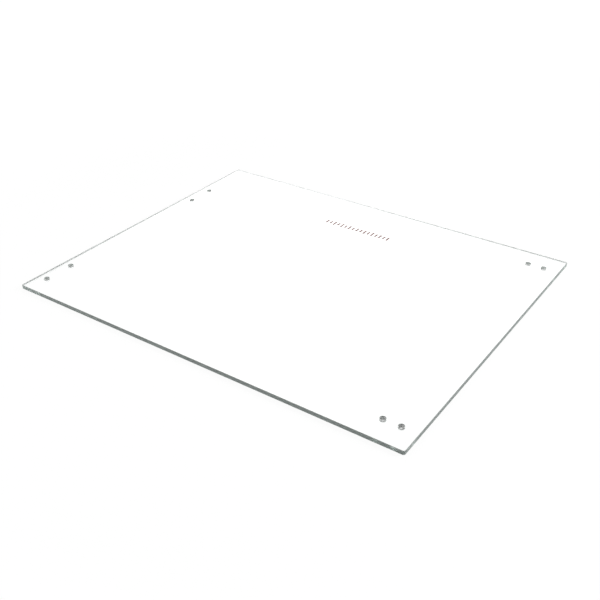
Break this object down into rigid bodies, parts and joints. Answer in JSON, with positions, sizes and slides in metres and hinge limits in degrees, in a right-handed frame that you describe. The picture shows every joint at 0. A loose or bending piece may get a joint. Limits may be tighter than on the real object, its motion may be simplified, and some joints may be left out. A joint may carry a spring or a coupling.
{
  "type": "glass pane of an oven door",
  "caption": "Flat rectangular pane of toughened glass for an oven door, with ground edges and drilled holes in pairs for its handle and hinge side fittings.",
  "frame": {"origin": "middle of the back face, on which the pane lies", "axes": "+X along the bottom edge towards the side with the short pairs of holes, +Y from the bottom edge to the top edge, +Z out of the front face"},
  "size_m": [0.508, 0.408, 0.0048],
  "materials": {
    "float_glass": "polished faces, ground edges",
    "red_enamel": "fired enamel, satin"
  },
  "bodies": {
    "root": {"glass_pane": "float_glass"}
  },
  "joints": []
}
